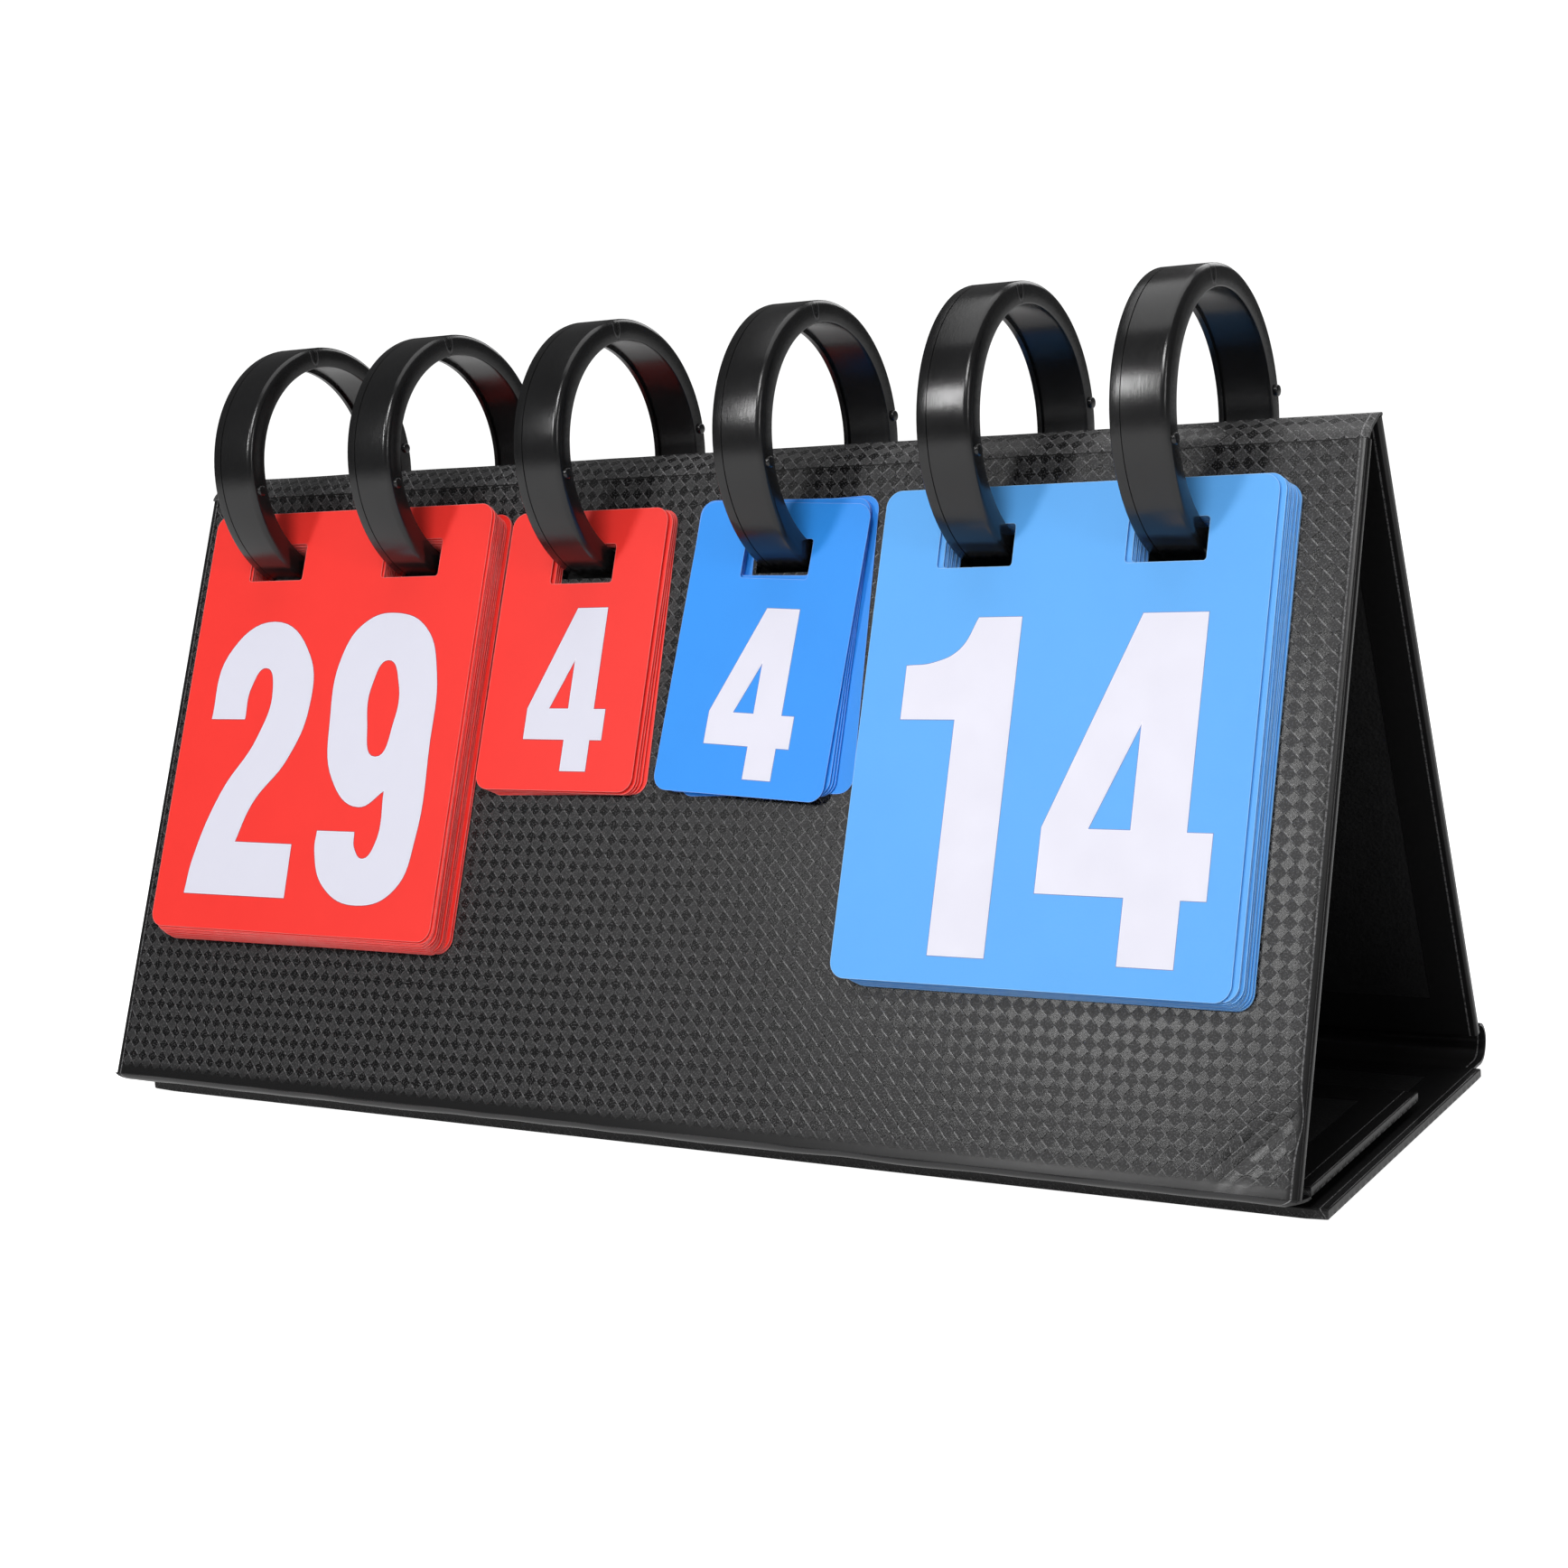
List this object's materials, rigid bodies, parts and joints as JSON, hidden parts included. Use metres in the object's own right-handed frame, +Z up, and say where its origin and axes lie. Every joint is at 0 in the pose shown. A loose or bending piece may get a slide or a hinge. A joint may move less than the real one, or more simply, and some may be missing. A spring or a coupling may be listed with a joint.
{
  "type": "tabletop flip scoreboard",
  "caption": "Folding A-frame score keeper: leather-covered boards with stacks of red and blue number cards that turn over the ridge on plastic rings.",
  "frame": {"origin": "centre of the base board's underside, on the table", "axes": "+Z up, +X to the right seen from the front, +Y to the back"},
  "size_m": [0.394, 0.1492, 0.2266],
  "materials": {
    "leather": "black imitation leather, embossed with a fine diamond weave, half gloss",
    "hinge_leather": "the same leather, creased at the folds",
    "lining": "plain black lining, matte",
    "greyboard": "uncoated greyboard",
    "hook_and_loop": "black hook and loop tape",
    "ring_plastic": "black moulded plastic, satin gloss",
    "card_red": "printed plastic sheet, satin",
    "card_blue": "printed plastic sheet, satin",
    "games_card_blue": "printed plastic sheet, satin"
  },
  "bodies": {
    "base": {"base_board": "greyboard", "base_cover": "leather", "base_lining": "lining", "hook_patches": "hook_and_loop", "heel_strip": "hinge_leather"},
    "rear_panel": {"rear_board": "greyboard", "rear_cover": "leather", "rear_lining": "lining", "ridge_strip": "hinge_leather", "blue_back_cards": "card_blue", "red_games_back_cards": "card_red", "blue_games_back_cards": "games_card_blue"},
    "front_panel": {"front_board": "greyboard", "front_cover": "leather", "front_lining": "lining", "toe_strip": "hinge_leather", "red_front_cards": "card_red", "blue_front_cards": "card_blue", "red_games_front_cards": "card_red", "blue_games_front_cards": "games_card_blue"},
    "flap": {"flap_board": "greyboard", "flap_cover": "leather", "flap_lining": "lining", "loop_patches": "hook_and_loop"},
    "ring_1": {"ring_1_front_half": "ring_plastic", "ring_1_rear_half": "ring_plastic"},
    "ring_2": {"ring_2_front_half": "ring_plastic", "ring_2_rear_half": "ring_plastic"},
    "ring_3": {"ring_3_front_half": "ring_plastic", "ring_3_rear_half": "ring_plastic"},
    "ring_4": {"ring_4_front_half": "ring_plastic", "ring_4_rear_half": "ring_plastic"},
    "ring_5": {"ring_5_front_half": "ring_plastic", "ring_5_rear_half": "ring_plastic"},
    "ring_6": {"ring_6_front_half": "ring_plastic", "ring_6_rear_half": "ring_plastic"},
    "red_top_card": {"red_top_card": "card_red"},
    "red_back_card": {"red_back_card": "card_red"},
    "red_games_top_card": {"red_games_top_card": "card_red"},
    "blue_games_top_card": {"blue_games_top_card": "games_card_blue"},
    "blue_top_card": {"blue_top_card": "card_blue"},
    "blue_back_card": {"blue_back_card": "card_blue"}
  },
  "joints": [
    {"name": "rear_hinge", "type": "hinge", "parent": "base", "child": "rear_panel", "pos_m": [-0.006, 0.0739, 0.0061], "axis": [-1, 0, 0], "range_deg": [0, 40], "deforming": ["heel_strip"]},
    {"name": "ridge_hinge", "type": "hinge", "parent": "rear_panel", "child": "front_panel", "pos_m": [-0.006, 0.00963, 0.18819], "axis": [1, 0, 0], "range_deg": [0, 37], "deforming": ["ridge_strip"]},
    {"name": "flap_hinge", "type": "hinge", "parent": "front_panel", "child": "flap", "pos_m": [-0.006, -0.064, 0.007], "axis": [1, 0, 0], "range_deg": [0, 66.8], "deforming": ["toe_strip"]},
    {"name": "ring_1_turn", "type": "hinge", "parent": "front_panel", "child": "ring_1", "pos_m": [-0.1607, 0.00963, 0.18819], "axis": [-1, 0, 0], "range_deg": [0, 293.69]},
    {"name": "red_top_card_swing", "type": "hinge", "parent": "ring_1", "child": "red_top_card", "pos_m": [-0.1607, -0.01312, 0.16127], "axis": [-1, 0, 0], "range_deg": [0, 24.62]},
    {"name": "ring_2_turn", "type": "hinge", "parent": "rear_panel", "child": "ring_2", "pos_m": [-0.1063, 0.00963, 0.18819], "axis": [1, 0, 0], "range_deg": [0, 293.64]},
    {"name": "red_back_card_swing", "type": "hinge", "parent": "ring_2", "child": "red_back_card", "pos_m": [-0.1063, 0.0246, 0.15627], "axis": [1, 0, 0], "range_deg": [0, 24.66]},
    {"name": "ring_3_turn", "type": "hinge", "parent": "front_panel", "child": "ring_3", "pos_m": [-0.0437, 0.00963, 0.18819], "axis": [-1, 0, 0], "range_deg": [0, 299.85]},
    {"name": "red_games_top_card_swing", "type": "hinge", "parent": "ring_3", "child": "red_games_top_card", "pos_m": [-0.0437, -0.00934, 0.15848], "axis": [-1, 0, 0], "range_deg": [0, 18.46]},
    {"name": "ring_4_turn", "type": "hinge", "parent": "front_panel", "child": "ring_4", "pos_m": [0.0241, 0.00963, 0.18819], "axis": [-1, 0, 0], "range_deg": [0, 299.85]},
    {"name": "blue_games_top_card_swing", "type": "hinge", "parent": "ring_4", "child": "blue_games_top_card", "pos_m": [0.0241, -0.00934, 0.15848], "axis": [-1, 0, 0], "range_deg": [0, 18.46]},
    {"name": "ring_5_turn", "type": "hinge", "parent": "front_panel", "child": "ring_5", "pos_m": [0.0873, 0.00963, 0.18819], "axis": [-1, 0, 0], "range_deg": [0, 286.01]},
    {"name": "blue_top_card_swing", "type": "hinge", "parent": "ring_5", "child": "blue_top_card", "pos_m": [0.0873, -0.01202, 0.16037], "axis": [-1, 0, 0], "range_deg": [0, 32.3]},
    {"name": "ring_6_turn", "type": "hinge", "parent": "rear_panel", "child": "ring_6", "pos_m": [0.1417, 0.00963, 0.18819], "axis": [1, 0, 0], "range_deg": [0, 286.01]},
    {"name": "blue_back_card_swing", "type": "hinge", "parent": "ring_6", "child": "blue_back_card", "pos_m": [0.1417, 0.02989, 0.15934], "axis": [1, 0, 0], "range_deg": [0, 32.29]}
  ],
  "couplings": [
    {"joint": "ridge_hinge", "follows": "rear_hinge", "ratio": 0.925},
    {"joint": "flap_hinge", "follows": "rear_hinge", "ratio": 1.67},
    {"joint": "red_top_card_swing", "follows": "ring_1_turn", "ratio": 0.083793},
    {"joint": "red_back_card_swing", "follows": "ring_2_turn", "ratio": 0.083959},
    {"joint": "red_games_top_card_swing", "follows": "ring_3_turn", "ratio": 0.061525},
    {"joint": "blue_games_top_card_swing", "follows": "ring_4_turn", "ratio": 0.061525},
    {"joint": "blue_top_card_swing", "follows": "ring_5_turn", "ratio": 0.11289},
    {"joint": "blue_back_card_swing", "follows": "ring_6_turn", "ratio": 0.11288}
  ]
}
